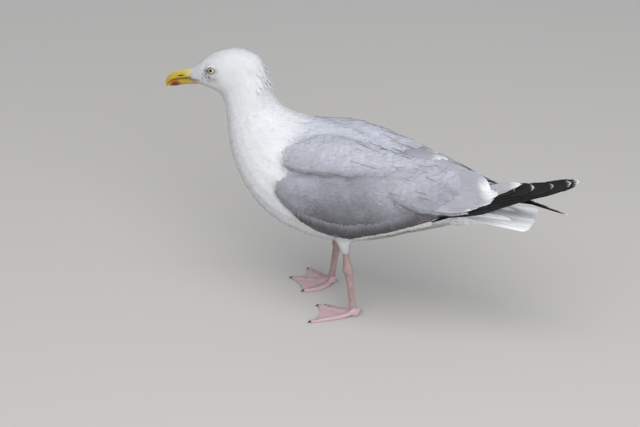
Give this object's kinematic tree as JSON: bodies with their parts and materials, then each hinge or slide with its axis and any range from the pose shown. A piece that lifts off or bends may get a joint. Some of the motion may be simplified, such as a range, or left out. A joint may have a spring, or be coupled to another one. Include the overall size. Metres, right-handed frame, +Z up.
{
  "type": "herring gull, standing with folded wings (life-size still model)",
  "caption": "Standing adult gull, wings folded and crossed over the tail, head a little turned, on webbed feet",
  "frame": {"origin": "on the floor under the middle of the bird's bounding box", "axes": "+Z up; the bird faces -Y, so its left side is +X and its tail points to +Y"},
  "size_m": [0.1586, 0.5912, 0.3555],
  "materials": {
    "white_plumage": "soft matt white feathers",
    "grey_plumage": "matt blue-grey feathers",
    "black_plumage": "satin black-brown flight feathers",
    "yellow_bill": "waxy yellow horn",
    "pink_skin": "scaly flesh-pink skin",
    "dark_claw": "dark horn",
    "pale_eye": "wet, clear"
  },
  "bodies": {
    "root": {"bill_lower": "yellow_bill", "bill_upper": "yellow_bill", "claw_left_hind": "dark_claw", "claw_left_inner": "dark_claw", "claw_left_middle": "dark_claw", "claw_left_outer": "dark_claw", "claw_right_hind": "dark_claw", "claw_right_inner": "dark_claw", "claw_right_middle": "dark_claw", "claw_right_outer": "dark_claw", "eye_left": "pale_eye", "eye_right": "pale_eye", "foot_left": "pink_skin", "foot_right": "pink_skin", "head": "white_plumage", "leg_left": "pink_skin", "leg_right": "pink_skin", "neck": "white_plumage", "primaries_left": "black_plumage", "primaries_right": "black_plumage", "scapulars_left": "grey_plumage", "scapulars_right": "grey_plumage", "tail": "white_plumage", "tertials_left": "grey_plumage", "tertials_right": "grey_plumage", "thigh_left": "white_plumage", "thigh_right": "white_plumage", "trunk": "white_plumage", "wing_left": "grey_plumage", "wing_right": "grey_plumage"}
  },
  "joints": []
}
